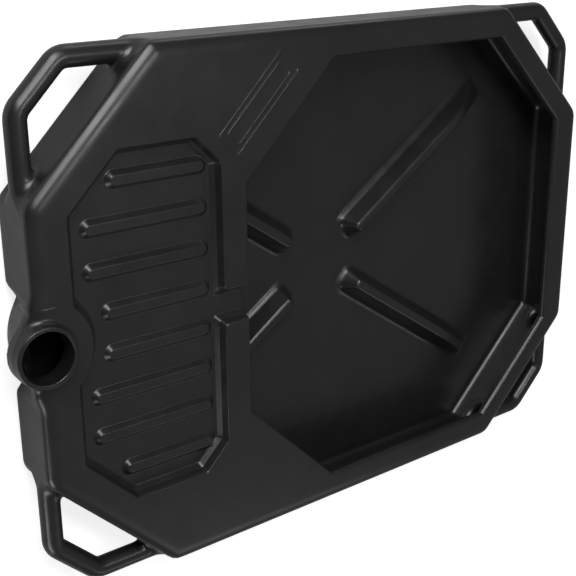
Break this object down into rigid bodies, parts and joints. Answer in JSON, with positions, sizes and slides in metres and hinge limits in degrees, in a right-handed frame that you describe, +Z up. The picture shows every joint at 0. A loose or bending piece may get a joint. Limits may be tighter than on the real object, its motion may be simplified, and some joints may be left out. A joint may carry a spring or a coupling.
{
  "type": "oil drain pan",
  "caption": "Low oil drain pan with cut corners, a wide octagonal catch opening, a ribbed parts tray that drains into it, a pouring spout and hollow tube handles.",
  "frame": {"origin": "centre of the pan's rectangular outline, on the flat underside that rests on the ground", "axes": "+Z up, +X along the length from the spout end towards the catch opening, +Y across the width towards the badge panel's side"},
  "size_m": [0.6478, 0.456, 0.066],
  "materials": {
    "shell_plastic": "satin moulded",
    "spout_plastic": "satin moulded",
    "handle_plastic": "satin moulded"
  },
  "bodies": {
    "root": {"tub": "shell_plastic", "deck": "shell_plastic", "spout": "spout_plastic", "handle_spout_left": "handle_plastic", "handle_spout_right": "handle_plastic", "handle_opening_left": "handle_plastic", "handle_opening_right": "handle_plastic"}
  },
  "joints": []
}
